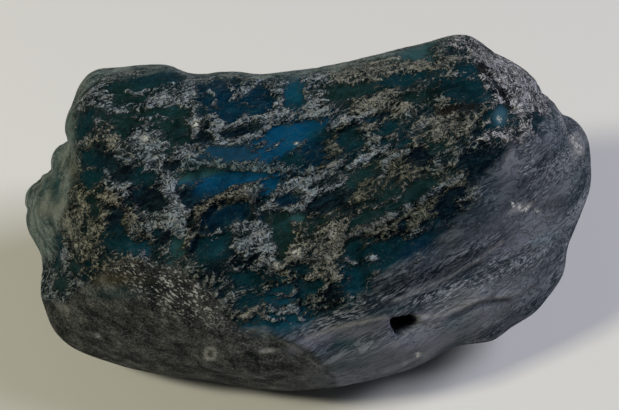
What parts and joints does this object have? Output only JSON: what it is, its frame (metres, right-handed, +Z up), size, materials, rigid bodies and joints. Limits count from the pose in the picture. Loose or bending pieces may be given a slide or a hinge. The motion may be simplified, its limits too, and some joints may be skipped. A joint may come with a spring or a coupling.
{
  "type": "apatite specimen",
  "caption": "Waterworn piece of rough blue apatite that rests on a flat, with glossy dark blue windows in a pale grey crust, for display.",
  "frame": {"origin": "on the surface that the stone rests on, under the middle of its bounding box", "axes": "+X along the stone's length, to the right as the broad face is looked at; -Y is the side that the broad face is turned to, which slopes back 40 degrees from level; +Z up"},
  "size_m": [0.06, 0.034, 0.0321],
  "materials": {
    "apatite": "waterworn apatite: glossy dark blue windows, dull pale grey crust, waxy lilac-grey worn faces"
  },
  "bodies": {
    "root": {"apatite_stone": "apatite"}
  },
  "joints": []
}
